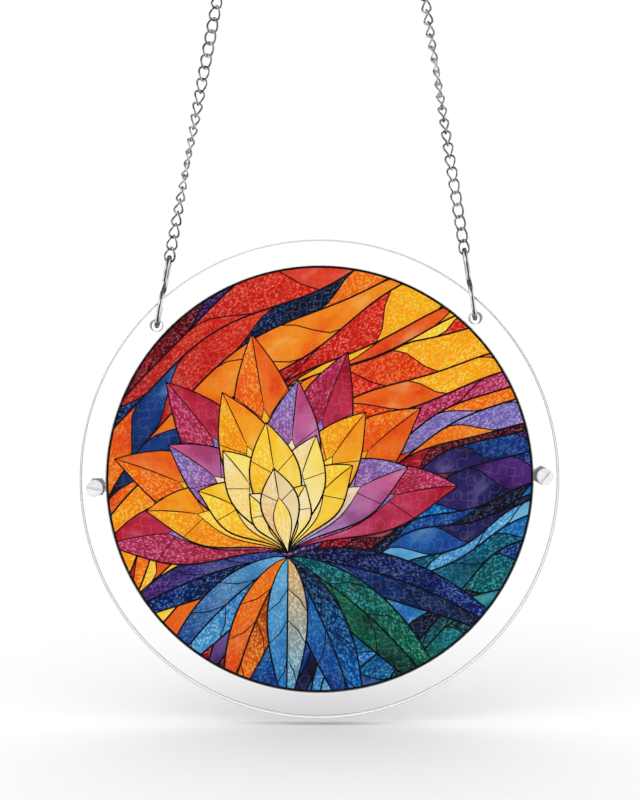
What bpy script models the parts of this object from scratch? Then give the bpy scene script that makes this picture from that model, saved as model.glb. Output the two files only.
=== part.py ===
"""Round clear acrylic suncatcher. A printed picture panel is held between two clear
discs, clamped by clear screws and nuts, and hung by two curb chains with S-hooks
from one ring.

Metres, +Z up. The front of the discs faces -Y. The origin is the hanging point,
which is the inside top of the hanging ring. The assembly hangs in balance, so the
drop and the slight turn of the discs follow from the two chain lengths.
"""

import math

import bmesh
import bpy
from mathutils import Matrix, Vector

# Clear discs, with the core sheet between them
DISC_RADIUS = 0.100
DISC_THICKNESS = 0.002
CORE_THICKNESS = 0.003
RIM_BEVEL = 0.0006
BORDER_WIDTH = 0.0107
PANEL_CLEARANCE = 0.0004
CONTACT_GAP = 0.0003

# Fixings in the clear border
FIXING_INSET = 0.0063
HANGING_HOLE_RADIUS = 0.0025
HANGING_HOLE_ANGLE = math.radians(44.7)
SCREW_DIP_ANGLE = math.radians(0.6)

# Clear screws and nuts
SCREW_HEAD_RADIUS = 0.0035
SCREW_HEAD_HEIGHT = 0.0024
SCREW_HEAD_DOME = 0.0006
SCREW_SLOT_WIDTH = 0.0010
SCREW_SLOT_DEPTH = 0.0010
SCREW_SHANK_RADIUS = 0.0020
SCREW_HOLE_CLEARANCE = 0.0003
SCREW_END_LENGTH = 0.0010
NUT_ACROSS_FLATS = 0.0070
NUT_THICKNESS = 0.0032
LEFT_SLOT_ANGLE = math.radians(12)
RIGHT_SLOT_ANGLE = math.radians(-50)
LEFT_NUT_ANGLE = math.radians(0)
RIGHT_NUT_ANGLE = math.radians(30)

# S-hooks of bright wire
HOOK_LENGTH = 0.031
HOOK_WIRE_RADIUS = 0.0010
HOOK_UPPER_TIP_ANGLE = math.radians(117)
HOOK_LOWER_TIP_ANGLE = math.radians(97)
LEFT_HOOK_TWIST = math.radians(3.5)
RIGHT_HOOK_TWIST = math.radians(-7)

# Curb chains
LINK_PITCH = 0.0051
LINK_WIDTH = 0.0052
LINK_WIRE_DIAMETER = 0.00095
LINK_TWIST_DEPTH = 0.0013
LINK_BITE = 0.0001
LEFT_LINK_COUNT = 69
RIGHT_LINK_COUNT = 68
LEFT_CHAIN_TURN = (math.radians(165), math.radians(-450))
RIGHT_CHAIN_TURN = (math.radians(-20), math.radians(450))

# Hanging ring
RING_INNER_RADIUS = 0.006
RING_WIRE_RADIUS = 0.0010
RING_SEAT_ANGLE = math.radians(22)

# Facets
DISC_SEGMENTS = 36
HOLE_SEGMENTS = 10
SCREW_SEGMENTS = 10
WIRE_STEP_ANGLE = math.radians(30)
WIRE_BEVEL_RESOLUTION = 1
RING_SEGMENTS = 12
LINK_CORNERS = 6

# Sizes that follow from those above
PANEL_RADIUS = DISC_RADIUS - BORDER_WIDTH
FIXING_CIRCLE_RADIUS = DISC_RADIUS - FIXING_INSET
STACK_THICKNESS = 2 * DISC_THICKNESS + CORE_THICKNESS + 2 * CONTACT_GAP
SCREW_HOLE_RADIUS = SCREW_SHANK_RADIUS + SCREW_HOLE_CLEARANCE
HOOK_BEND_RADIUS = (HOOK_LENGTH - 2 * HOOK_WIRE_RADIUS) / 4
HOOK_INNER_BEND = HOOK_BEND_RADIUS - HOOK_WIRE_RADIUS
HOOK_BEARING_LENGTH = HOOK_LENGTH - 4 * HOOK_WIRE_RADIUS
RING_BEND_RADIUS = RING_INNER_RADIUS + RING_WIRE_RADIUS
CUTTER_LENGTH = 3 * STACK_THICKNESS

FRONT = Vector((0, -1, 0))


def clear_scene():
    for obj in list(bpy.data.objects):
        bpy.data.objects.remove(obj, do_unlink=True)


def make_material(name, colour, roughness, metallic=0.0, transmission=0.0, alpha=1.0):
    material = bpy.data.materials.new(name)
    material.use_nodes = True
    shader = material.node_tree.nodes["Principled BSDF"]
    shader.inputs["Base Color"].default_value = (*colour, 1.0)
    shader.inputs["Roughness"].default_value = roughness
    shader.inputs["Metallic"].default_value = metallic
    shader.inputs["Transmission Weight"].default_value = transmission
    shader.inputs["Alpha"].default_value = alpha
    return material


def make_materials():
    return {
        "clear_acrylic": make_material(
            "clear_acrylic", (0.95, 0.97, 0.98), 0.03, transmission=1.0, alpha=0.35
        ),
        "printed_acrylic": make_material("printed_acrylic", (0.80, 0.42, 0.22), 0.12),
        "clear_plastic": make_material(
            "clear_plastic", (0.90, 0.91, 0.92), 0.12, transmission=1.0, alpha=0.5
        ),
        "bright_steel": make_material("bright_steel", (0.72, 0.72, 0.74), 0.18, metallic=1.0),
        "chain_steel": make_material("chain_steel", (0.62, 0.62, 0.64), 0.24, metallic=1.0),
    }


def link_object(name, data, material=None, parent=None):
    obj = bpy.data.objects.new(name, data)
    bpy.context.scene.collection.objects.link(obj)
    obj.parent = parent
    if material is not None:
        data.materials.append(material)
    return obj


def as_helper(obj):
    """Keeps a cutter or an operand out of the finished model."""
    obj.hide_render = True
    obj.display_type = "WIRE"
    return obj


def mesh_from(shape, name):
    mesh = bpy.data.meshes.new(name)
    bmesh.ops.recalc_face_normals(shape, faces=shape.faces)
    shape.to_mesh(mesh)
    shape.free()
    mesh.shade_smooth()
    mesh.set_sharp_from_angle(angle=math.radians(35))
    return mesh


def turned_mesh(name, profile, segments):
    """Turns a closed outline of (radius, depth) points about the Y axis.

    A flat end is one face, with no point left on the axis.
    """
    shape = bmesh.new()
    points = [shape.verts.new((radius, depth, 0)) for radius, depth in profile]
    edges = [shape.edges.new((points[i], points[i - 1])) for i in range(len(points))]
    edges = [edge for edge in edges if any(vert.co.x > 0 for vert in edge.verts)]
    bmesh.ops.spin(
        shape,
        geom=points + edges,
        cent=(0, 0, 0),
        axis=(0, 1, 0),
        angle=2 * math.pi,
        steps=segments,
        use_merge=True,
    )
    bmesh.ops.remove_doubles(shape, verts=shape.verts, dist=1e-6)
    loose = [edge for edge in shape.edges if not edge.link_faces]
    bmesh.ops.delete(shape, geom=loose, context="EDGES")
    poles = [vert for vert in shape.verts if vert.co.xz.length < 1e-6]
    bmesh.ops.dissolve_verts(shape, verts=poles)
    return mesh_from(shape, name)


def on_fixing_circle(side, angle):
    """A place in the discs' own frame, at an angle above the level line on one side.

    The side is -1 for the left and 1 for the right.
    """
    across = side * FIXING_CIRCLE_RADIUS * math.cos(angle)
    return Vector((across, 0, FIXING_CIRCLE_RADIUS * math.sin(angle)))


def hanging_hole_place(side):
    return on_fixing_circle(side, HANGING_HOLE_ANGLE)


def screw_place(side):
    return on_fixing_circle(side, -SCREW_DIP_ANGLE)


def hook_seat_height():
    """How far above a hole's centre the hook's inner bottom sits, to clear the stack."""
    half = STACK_THICKNESS / 2
    rise = HOOK_INNER_BEND - math.sqrt(HOOK_INNER_BEND**2 - half**2)
    return HANGING_HOLE_RADIUS - rise - CONTACT_GAP


def hanging_length(link_count):
    """From the ring's inner bottom to a hole's centre, along one chain and its hook."""
    return link_count * LINK_PITCH - 2 * CONTACT_GAP + HOOK_BEARING_LENGTH + hook_seat_height()


def balance():
    """Drop of the discs' centre below the ring's inner bottom, and their turn.

    The triangle of the two hanging lengths and the hole spacing is rigid, and it
    swings until the discs' centre is straight below the ring.
    """
    hole = hanging_hole_place(1)
    left = hanging_length(LEFT_LINK_COUNT)
    right = hanging_length(RIGHT_LINK_COUNT)
    apex_x = (left**2 - right**2) / (4 * hole.x)
    apex_z = hole.z + math.sqrt(left**2 - (hole.x + apex_x) ** 2)
    return math.hypot(apex_x, apex_z), math.atan2(apex_x, apex_z)


def make_disc_frame():
    drop, turn = balance()
    frame = bpy.data.objects.new("disc_frame", None)
    bpy.context.scene.collection.objects.link(frame)
    frame.location = (0, 0, -2 * RING_INNER_RADIUS - drop)
    frame.rotation_euler = (0, -turn, 0)
    return frame


def make_hole_cutters(frame):
    """One cutter for each hole that runs through all three layers."""
    half = CUTTER_LENGTH / 2
    cutters = []
    places = {
        "hanging_hole_left": (hanging_hole_place(-1), HANGING_HOLE_RADIUS),
        "hanging_hole_right": (hanging_hole_place(1), HANGING_HOLE_RADIUS),
        "screw_hole_left": (screw_place(-1), SCREW_HOLE_RADIUS),
        "screw_hole_right": (screw_place(1), SCREW_HOLE_RADIUS),
    }
    for name, (place, radius) in places.items():
        outline = [(0, -half), (radius, -half), (radius, half), (0, half)]
        mesh = turned_mesh(name, outline, HOLE_SEGMENTS)
        cutter = as_helper(link_object(name, mesh, parent=frame))
        cutter.location = place
        cutters.append(cutter)
    return cutters


def drill(obj, cutters):
    for cutter in cutters:
        cut = obj.modifiers.new(cutter.name, "BOOLEAN")
        cut.operation = "DIFFERENCE"
        cut.object = cutter


def make_disc(name, side, frame, cutters, material):
    """A clear disc whose outer face edge is bevelled; side is -1 front, 1 back."""
    inner = CORE_THICKNESS / 2 + CONTACT_GAP
    outer = inner + DISC_THICKNESS
    outline = [
        (0, side * inner),
        (DISC_RADIUS, side * inner),
        (DISC_RADIUS, side * (outer - RIM_BEVEL)),
        (DISC_RADIUS - RIM_BEVEL, side * outer),
        (0, side * outer),
    ]
    disc = link_object(name, turned_mesh(name, outline, DISC_SEGMENTS), material, frame)
    drill(disc, cutters)
    return disc


def make_spacer_ring(frame, cutters, material):
    inner = PANEL_RADIUS + PANEL_CLEARANCE
    half = CORE_THICKNESS / 2
    outline = [(inner, -half), (DISC_RADIUS, -half), (DISC_RADIUS, half), (inner, half)]
    mesh = turned_mesh("spacer_ring", outline, DISC_SEGMENTS)
    ring = link_object("spacer_ring", mesh, material, frame)
    drill(ring, cutters)
    return ring


def make_picture_panel(frame, material):
    half = CORE_THICKNESS / 2
    outline = [(0, -half), (PANEL_RADIUS, -half), (PANEL_RADIUS, half), (0, half)]
    mesh = turned_mesh("picture_panel", outline, DISC_SEGMENTS)
    return link_object("picture_panel", mesh, material, frame)


def make_screw(name, place, slot_angle, frame, material):
    """A slotted screw in from the front, long enough to pass through its nut."""
    under_head = -(STACK_THICKNESS / 2 + CONTACT_GAP)
    head_edge = under_head - (SCREW_HEAD_HEIGHT - SCREW_HEAD_DOME)
    head_top = under_head - SCREW_HEAD_HEIGHT
    shank_end = STACK_THICKNESS / 2 + CONTACT_GAP + NUT_THICKNESS + SCREW_END_LENGTH
    outline = [
        (0, head_top),
        (SCREW_HEAD_RADIUS - SCREW_HEAD_DOME, head_top),
        (SCREW_HEAD_RADIUS, head_edge),
        (SCREW_HEAD_RADIUS, under_head),
        (SCREW_SHANK_RADIUS, under_head),
        (SCREW_SHANK_RADIUS, shank_end),
        (0, shank_end),
    ]
    screw = link_object(name, turned_mesh(name, outline, SCREW_SEGMENTS), material, frame)
    screw.location = place
    screw.rotation_euler = (0, slot_angle, 0)

    shape = bmesh.new()
    size = (4 * SCREW_HEAD_RADIUS, 2 * SCREW_SLOT_DEPTH, SCREW_SLOT_WIDTH)
    bmesh.ops.create_cube(shape, size=1, matrix=Matrix.Diagonal((*size, 1)))
    cutter = as_helper(link_object(name + "_slot", mesh_from(shape, name + "_slot"), parent=screw))
    cutter.location = (0, head_top, 0)
    drill(screw, [cutter])
    return screw


def make_nut(name, place, angle, frame, material):
    """A hexagon nut against the back disc, turned about the screw by the angle."""
    front = STACK_THICKNESS / 2 + CONTACT_GAP
    corner_radius = NUT_ACROSS_FLATS / math.sqrt(3)
    outline = [
        (0, front),
        (corner_radius, front),
        (corner_radius, front + NUT_THICKNESS),
        (0, front + NUT_THICKNESS),
    ]
    nut = link_object(name, turned_mesh(name, outline, 6), material, frame)
    nut.location = place
    nut.rotation_euler = (0, angle, 0)

    half = CUTTER_LENGTH / 2
    bore = [(0, -half), (SCREW_HOLE_RADIUS, -half), (SCREW_HOLE_RADIUS, half), (0, half)]
    mesh = turned_mesh(name + "_bore", bore, SCREW_SEGMENTS)
    cutter = as_helper(link_object(name + "_bore", mesh, parent=nut))
    cutter.location = (0, half, 0)
    drill(nut, [cutter])
    return nut


def wire_object(name, points, radius, cyclic, material):
    curve = bpy.data.curves.new(name, "CURVE")
    curve.dimensions = "3D"
    curve.bevel_depth = radius
    curve.bevel_resolution = WIRE_BEVEL_RESOLUTION
    curve.use_fill_caps = not cyclic
    spline = curve.splines.new("POLY")
    spline.points.add(len(points) - 1)
    for target, point in zip(spline.points, points):
        target.co = (*point, 1)
    spline.use_cyclic_u = cyclic
    return link_object(name, curve, material)


def arc_angles(start, end):
    count = max(2, round(abs(end - start) / WIRE_STEP_ANGLE))
    return [start + (end - start) * i / count for i in range(count + 1)]


def hook_points(hole, along, twist):
    """Centre line of an S-hook, from its upper tip in front to its lower tip behind.

    The hook's long axis runs along the chain's line. Two bends of one radius touch
    in the middle; the lower one passes through the hanging hole.
    """
    depth = Matrix.Rotation(twist, 3, along) @ FRONT
    middle = hole + along * (hook_seat_height() + HOOK_BEARING_LENGTH / 2)
    upper = [
        depth * math.sin(angle) + along * (1 + math.cos(angle))
        for angle in arc_angles(HOOK_UPPER_TIP_ANGLE, -math.pi)
    ]
    lower = [
        -depth * math.sin(angle) - along * (1 + math.cos(angle))
        for angle in arc_angles(-math.pi, HOOK_LOWER_TIP_ANGLE)
    ]
    return [middle + offset * HOOK_BEND_RADIUS for offset in upper + lower[1:]]


def make_hook(name, hole, along, twist, material):
    points = hook_points(hole, along, twist)
    return wire_object(name, points, HOOK_WIRE_RADIUS, False, material)


def make_hanging_ring(material):
    centre = Vector((0, 0, -RING_INNER_RADIUS))
    points = []
    for i in range(RING_SEGMENTS):
        angle = 2 * math.pi * i / RING_SEGMENTS
        points.append(centre + RING_BEND_RADIUS * Vector((math.sin(angle), 0, math.cos(angle))))
    return wire_object("hanging_ring", points, RING_WIRE_RADIUS, True, material)


def ring_seat(side):
    """Where a chain's end link bears on the inner bottom of the ring."""
    angle = side * RING_SEAT_ANGLE
    reach = RING_INNER_RADIUS * Vector((math.sin(angle), 0, -math.cos(angle)))
    return Vector((0, 0, -RING_INNER_RADIUS)) + reach


def link_outline(pitch):
    """Sections round one twisted link, about its centre: across, along, to the front.

    The wire is a three-sided bar of the round wire's own area, flat side inwards,
    so that neighbouring links meet flat on flat at their tips.
    """
    section_side = LINK_WIRE_DIAMETER * math.sqrt(math.pi / math.sqrt(3))
    to_flat = section_side / (2 * math.sqrt(3))
    half_width = (LINK_WIDTH - LINK_WIRE_DIAMETER) / 2
    tip = (pitch - LINK_BITE) / 2 + to_flat
    corner = 2 * math.pi / LINK_CORNERS
    half_length = tip / math.sin(corner)
    centre = [
        Vector(
            (
                half_width * math.cos(i * corner),
                half_length * math.sin(i * corner),
                LINK_TWIST_DEPTH * math.sin(2 * i * corner),
            )
        )
        for i in range(LINK_CORNERS)
    ]
    sections = []
    for i, point in enumerate(centre):
        before = (point - centre[i - 1]).to_2d().normalized()
        after = (centre[(i + 1) % LINK_CORNERS] - point).to_2d().normalized()
        out_before = Vector((before.y, -before.x))
        out_after = Vector((after.y, -after.x))
        mitre = (out_before + out_after) / (1 + out_before.dot(out_after))
        out = to_flat * Vector((mitre.x, mitre.y, 0))
        up = section_side / 2 * Vector((0, 0, 1))
        sections.append([point + 2 * out, point - out + up, point - out - up])
    return sections


def add_link(shape, sections, place):
    rings = [[shape.verts.new(place @ corner) for corner in section] for section in sections]
    for i, ring in enumerate(rings):
        following = rings[(i + 1) % len(rings)]
        for j in range(len(ring)):
            k = (j + 1) % len(ring)
            shape.faces.new((ring[j], following[j], following[k], ring[k]))


def make_chain(name, start, end, count, turn, material):
    """A chain of twisted links from its hook end to its ring end, fused where links touch.

    Every other link is in a second mesh, which a Boolean joins to the first.
    """
    along = (end - start).normalized()
    across = along.cross(FRONT).normalized()
    pitch = (end - start).length / count
    sections = link_outline(pitch)
    shapes = [bmesh.new(), bmesh.new()]
    for i in range(count):
        angle = turn[0] + (turn[1] - turn[0]) * i / (count - 1)
        spin = Matrix.Rotation(angle, 4, along)
        axes = Matrix((across, along, FRONT)).transposed().to_4x4()
        place = Matrix.Translation(start + along * pitch * (i + 0.5)) @ spin @ axes
        add_link(shapes[i % 2], sections, place)
    chain = link_object(name, mesh_from(shapes[0], name), material)
    others = mesh_from(shapes[1], name + "_alternate_links")
    alternate = as_helper(link_object(name + "_alternate_links", others))
    join = chain.modifiers.new("join_links", "BOOLEAN")
    join.operation = "UNION"
    join.object = alternate
    return chain


def make_hanging_side(side_name, side, frame, count, turn, twist, materials):
    """The S-hook and the chain of one side, in line from the hole to the ring."""
    hole = frame.matrix_world @ hanging_hole_place(side)
    seat = ring_seat(side)
    along = (seat - hole).normalized()
    make_hook("s_hook_" + side_name, hole, along, twist, materials["bright_steel"])
    start = hole + along * (hook_seat_height() + HOOK_BEARING_LENGTH - CONTACT_GAP)
    end = seat + along * CONTACT_GAP
    make_chain("chain_" + side_name, start, end, count, turn, materials["chain_steel"])


def build():
    clear_scene()
    materials = make_materials()
    acrylic = materials["clear_acrylic"]
    plastic = materials["clear_plastic"]
    frame = make_disc_frame()
    bpy.context.view_layer.update()

    cutters = make_hole_cutters(frame)
    make_disc("front_disc", -1, frame, cutters, acrylic)
    make_disc("back_disc", 1, frame, cutters, acrylic)
    make_spacer_ring(frame, cutters, acrylic)
    make_picture_panel(frame, materials["printed_acrylic"])

    make_screw("screw_left", screw_place(-1), LEFT_SLOT_ANGLE, frame, plastic)
    make_screw("screw_right", screw_place(1), RIGHT_SLOT_ANGLE, frame, plastic)
    make_nut("nut_left", screw_place(-1), LEFT_NUT_ANGLE, frame, plastic)
    make_nut("nut_right", screw_place(1), RIGHT_NUT_ANGLE, frame, plastic)

    make_hanging_side(
        "left", -1, frame, LEFT_LINK_COUNT, LEFT_CHAIN_TURN, LEFT_HOOK_TWIST, materials
    )
    make_hanging_side(
        "right", 1, frame, RIGHT_LINK_COUNT, RIGHT_CHAIN_TURN, RIGHT_HOOK_TWIST, materials
    )
    make_hanging_ring(materials["bright_steel"])


build()
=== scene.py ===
"""The looks of a hanging suncatcher: clear discs, a printed picture in the manner of leaded
glass, clear screws and nuts, S-hooks, curb chains and a ring, on a plain pale stage.

Run as a script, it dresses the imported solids. Registered, each step is a button in the
3D view's sidebar. Metres, +Z up; the front of the discs faces -Y.
"""

import math
import random

import bpy
from mathutils import Color, Matrix, Vector
from mathutils.bvhtree import BVHTree
from mathutils.geometry import delaunay_2d_cdt


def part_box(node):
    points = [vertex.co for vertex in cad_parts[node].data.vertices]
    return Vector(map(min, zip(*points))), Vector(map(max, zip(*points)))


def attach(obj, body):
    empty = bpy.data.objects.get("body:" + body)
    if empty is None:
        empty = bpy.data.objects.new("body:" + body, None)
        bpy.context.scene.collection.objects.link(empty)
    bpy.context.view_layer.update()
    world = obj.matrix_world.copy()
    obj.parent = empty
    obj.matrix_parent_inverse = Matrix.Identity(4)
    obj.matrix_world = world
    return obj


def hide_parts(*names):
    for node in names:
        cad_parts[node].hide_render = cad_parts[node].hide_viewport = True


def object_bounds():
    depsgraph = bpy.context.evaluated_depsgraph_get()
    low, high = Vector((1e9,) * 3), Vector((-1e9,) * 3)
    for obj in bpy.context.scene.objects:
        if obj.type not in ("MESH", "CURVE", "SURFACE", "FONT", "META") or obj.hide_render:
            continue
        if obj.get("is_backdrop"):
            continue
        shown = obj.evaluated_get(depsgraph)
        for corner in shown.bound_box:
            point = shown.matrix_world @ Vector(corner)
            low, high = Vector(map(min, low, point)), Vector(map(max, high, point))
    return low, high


bl_info = {
    "name": "Hanging Suncatcher",
    "version": (1, 0, 0),
    "blender": (4, 5, 0),
    "location": "3D View > Sidebar > Suncatcher",
    "description": "Dresses the solids of a hanging acrylic suncatcher",
    "category": "Object",
}

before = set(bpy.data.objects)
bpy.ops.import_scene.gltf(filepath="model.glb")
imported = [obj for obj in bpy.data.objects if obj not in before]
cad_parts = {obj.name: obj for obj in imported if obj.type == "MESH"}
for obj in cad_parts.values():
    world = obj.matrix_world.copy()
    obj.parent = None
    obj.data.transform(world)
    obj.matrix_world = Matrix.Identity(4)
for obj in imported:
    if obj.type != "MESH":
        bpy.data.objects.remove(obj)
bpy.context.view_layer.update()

FRONT = Vector((0, -1, 0))
ACRYLIC_IOR = 1.49
# Sides of a drilled hole, and of a screw's head or the round that a nut is cut from
HOLE_SIDES = 40
HEAD_SIDES = 48
# Rounding of a nut's edges
NUT_BEVEL = 0.00015
# How far behind the front edge the bevel's grey, which is painted shade, has gone over into the
# wall's blue
EDGE_FADE = 0.0002
# Steps along each bend of an S-hook
HOOK_STEPS = 36
# A clear layer's two surfaces, in the order of its material slots
POLISHED, SATIN = 0, 1
# From the discs' centre to the lamp, and the lamp's width
LAMP_OFFSET = Vector((-0.9, -1.2, 1.3))
LAMP_SIZE = 1.2
# Points of the picture that are nearer than this become one, on a disc of radius 1
MERGE_DISTANCE = 1e-6

# The picture's glass, as display colours
TINTS = {
    "cream": (0.99, 0.92, 0.76),
    "lemon": (1.00, 0.90, 0.36),
    "gold": (0.99, 0.77, 0.10),
    "amber": (0.97, 0.58, 0.08),
    "flame": (0.92, 0.36, 0.07),
    "coral": (0.90, 0.26, 0.14),
    "crimson": (0.72, 0.07, 0.15),
    "maroon": (0.38, 0.05, 0.13),
    "rust": (0.58, 0.24, 0.08),
    "rose": (0.80, 0.30, 0.50),
    "lilac": (0.63, 0.58, 0.82),
    "violet": (0.31, 0.13, 0.47),
    "indigo": (0.13, 0.12, 0.36),
    "navy": (0.04, 0.07, 0.21),
    "cobalt": (0.08, 0.28, 0.60),
    "azure": (0.06, 0.50, 0.78),
    "sky": (0.46, 0.74, 0.88),
    "teal": (0.03, 0.47, 0.53),
    "jade": (0.05, 0.52, 0.38),
    "forest": (0.02, 0.22, 0.20),
    "sand": (0.93, 0.80, 0.56),
}


def box_centre(node):
    low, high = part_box(node)
    return (low + high) / 2


def half_width(node):
    low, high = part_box(node)
    return (high.x - low.x) / 2


def depth_range(node):
    low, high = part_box(node)
    return low.y, high.y


def disc_place():
    """The discs' own frame: their common centre, turned about Y as the two screws show."""
    left, right = box_centre("screw_left"), box_centre("screw_right")
    turn = math.atan2(right.z - left.z, right.x - left.x)
    return Matrix.Translation(box_centre("picture_panel")) @ Matrix.Rotation(-turn, 4, "Y")


def length_property(label, default, description):
    return bpy.props.FloatProperty(
        name=label, description=description, default=default, min=0, unit="LENGTH", precision=5
    )


def angle_property(label, degrees, description):
    return bpy.props.FloatProperty(
        name=label, description=description, default=math.radians(degrees), subtype="ANGLE"
    )


def count_property(label, default, description):
    return bpy.props.IntProperty(name=label, description=description, default=default, min=1)


def share_property(label, default, description):
    return bpy.props.FloatProperty(
        name=label, description=description, default=default, min=0, max=1, subtype="FACTOR"
    )


def colour_property(label, default, description):
    return bpy.props.FloatVectorProperty(
        name=label,
        description=description,
        default=default,
        size=3,
        min=0,
        max=1,
        subtype="COLOR_GAMMA",
    )


class ClearPartSettings(bpy.types.PropertyGroup):
    """Sizes of the clear discs, screws and nuts"""

    rim_segments: count_property("Rim Segments", 256, "Sides of the discs' round rim")
    edge_bevel: length_property("Edge Bevel", 0.0004, "Width of the bevel round each disc's edges")
    hole_radius: length_property("Hole Radius", 0.0025, "Radius of a hanging hole")
    hole_circle: length_property("Hole Circle", 0.0937, "Radius of the circle of holes")
    hole_angle: angle_property("Hole Angle", 44.7, "A hanging hole's angle above level")
    screw_dip: angle_property("Screw Dip", 0.6, "A screw's angle below level")
    screw_hole_radius: length_property("Screw Hole Radius", 0.0023, "Radius of a screw's hole")
    head_height: length_property("Head Height", 0.0024, "Height of a screw's head")
    head_bevel: length_property("Head Bevel", 0.0006, "Rounding of a screw head's front edge")
    slot_width: length_property("Slot Width", 0.0010, "Width and depth of a screw's slot")
    thread_pitch: length_property("Thread Pitch", 0.0007, "Distance between two thread crests")
    thread_depth: length_property("Thread Depth", 0.0003, "Depth of a thread's groove")
    shank_radius: length_property("Shank Radius", 0.0020, "Radius of a screw's shank")
    nut_flats: length_property("Nut Flats", 0.0070, "A nut's size across its flats")
    left_slot: angle_property("Left Slot", 12, "Turn of the left screw's slot")
    right_slot: angle_property("Right Slot", -50, "Turn of the right screw's slot")
    left_nut: angle_property("Left Nut", 0, "Turn of the left nut")
    right_nut: angle_property("Right Nut", 30, "Turn of the right nut")


class WireSettings(bpy.types.PropertyGroup):
    """Sizes of the S-hooks, the chains and the hanging ring"""

    hook_length: length_property("Hook Length", 0.031, "Outside length of an S-hook")
    hook_wire: length_property("Hook Wire", 0.0010, "Radius of an S-hook's wire")
    upper_tip: angle_property("Upper Tip", 117, "How far the front tip comes round")
    lower_tip: angle_property("Lower Tip", 97, "How far the back tip comes round")
    left_twist: angle_property("Left Twist", 3.5, "Turn of the left hook about its length")
    right_twist: angle_property("Right Twist", -7, "Turn of the right hook about its length")
    link_width: length_property("Link Width", 0.0052, "Outside width of a link")
    link_wire: length_property("Link Wire", 0.00095, "Diameter of a link's wire")
    link_twist: length_property("Link Twist", 0.0011, "How far a link's sides stand fore and aft")
    left_links: count_property("Left Links", 69, "Links in the left chain")
    right_links: count_property("Right Links", 68, "Links in the right chain")
    left_first: angle_property("Left First Turn", 165, "Turn of the left chain's lowest link")
    left_last: angle_property("Left Last Turn", -450, "Turn of the left chain's highest link")
    right_first: angle_property("Right First Turn", -20, "Turn of the right chain's lowest link")
    right_last: angle_property("Right Last Turn", 450, "Turn of the right chain's highest link")
    seat_angle: angle_property("Seat Angle", 22, "Where a chain bears on the ring, from its foot")
    ring_wire: length_property("Ring Wire", 0.0010, "Radius of the ring's wire")
    contact_gap: length_property("Contact Gap", 0.0003, "Gap that stands for a contact")


class PictureSettings(bpy.types.PropertyGroup):
    """Sizes and counts of the printed picture, as shares of its radius where they have no unit"""

    border: length_property("Border", 0.0010, "Width of the black line round the picture")
    line_width: length_property("Line Width", 0.00078, "Width of a lead line")
    fine_line: length_property("Fine Line", 0.00054, "Width of a line that splits a pane")
    cut_width: length_property("Cut Width", 0.00030, "Width of a jigsaw cut")
    cut_mark: share_property("Cut Mark", 0.08, "How plainly a jigsaw cut shows")
    cut_pitch: length_property("Cut Pitch", 0.0102, "Size of a jigsaw piece")
    circle_segments: count_property("Circle Segments", 180, "Sides of the picture's round edge")
    ribbon_count: count_property("Ribbons", 24, "Curved bands behind the flower and leaves")
    seed: count_property("Seed", 5, "Start of the picture's random draws")
    grain_size: length_property("Grain Size", 0.00080, "Size of a grain in the hammered panes")
    grain_depth: share_property("Grain Depth", 0.9, "How strongly grains lighten and darken")
    # Painted backlight: the picture gives off its own colour as emission, in place of light
    # shining through it from behind
    painted_backlight: share_property("Glow", 0.30, "Light that the picture lets through from behind")


class GlassTints(bpy.types.PropertyGroup):
    """Colours of the picture's glass"""

    __annotations__ = {
        name: colour_property(name.title(), tint, f"The {name} panes of the picture")
        for name, tint in TINTS.items()
    }


class StageSettings(bpy.types.PropertyGroup):
    """The floor, the light and the camera"""

    floor_radius: length_property("Floor Radius", 1.6, "Radius of the round floor")
    floor_core: length_property("Floor Core", 0.35, "Radius at which the floor starts to fade")
    floor_drop: length_property("Floor Drop", 0.003, "Gap between the discs and the floor")
    floor_colour: colour_property("Floor Colour", (0.985, 0.985, 0.988), "Colour of the floor")
    sky_strength: bpy.props.FloatProperty(
        name="Sky Strength", description="Brightness of the white surround", default=1.04, min=0
    )
    key_power: bpy.props.FloatProperty(
        name="Key Power", description="Power of the large soft lamp", default=3.0, unit="POWER"
    )
    camera_offset: bpy.props.FloatVectorProperty(
        name="Camera Offset",
        description="From the discs' centre to the camera",
        default=(-0.0119, -0.5500, 0.0428),
        size=3,
        unit="LENGTH",
        precision=5,
    )
    camera_yaw: angle_property("Camera Yaw", -1.20, "Turn of the camera about the vertical")
    camera_pitch: angle_property("Camera Pitch", -1.00, "Tilt of the camera above level")
    camera_roll: angle_property("Camera Roll", 0.49, "Roll of the camera about its view")
    focal_length: bpy.props.FloatProperty(
        name="Focal Length", description="For a 36 mm long side, in mm", default=59.09, min=1
    )


class SuncatcherSettings(bpy.types.PropertyGroup):
    """All settings of the suncatcher"""

    clear: bpy.props.PointerProperty(type=ClearPartSettings)
    wire: bpy.props.PointerProperty(type=WireSettings)
    picture: bpy.props.PointerProperty(type=PictureSettings)
    tints: bpy.props.PointerProperty(type=GlassTints)
    stage: bpy.props.PointerProperty(type=StageSettings)


# Materials


class Value:
    """A socket that carries a number; Python's operators on it add Math nodes."""

    def __init__(self, paint, socket):
        self.paint = paint
        self.socket = socket

    def __add__(self, other):
        return self.paint.maths("ADD", self, other)

    def __sub__(self, other):
        return self.paint.maths("SUBTRACT", self, other)

    def __mul__(self, other):
        return self.paint.maths("MULTIPLY", self, other)

    def __rsub__(self, other):
        return self.paint.maths("SUBTRACT", other, self)

    __radd__ = __add__
    __rmul__ = __mul__


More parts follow.
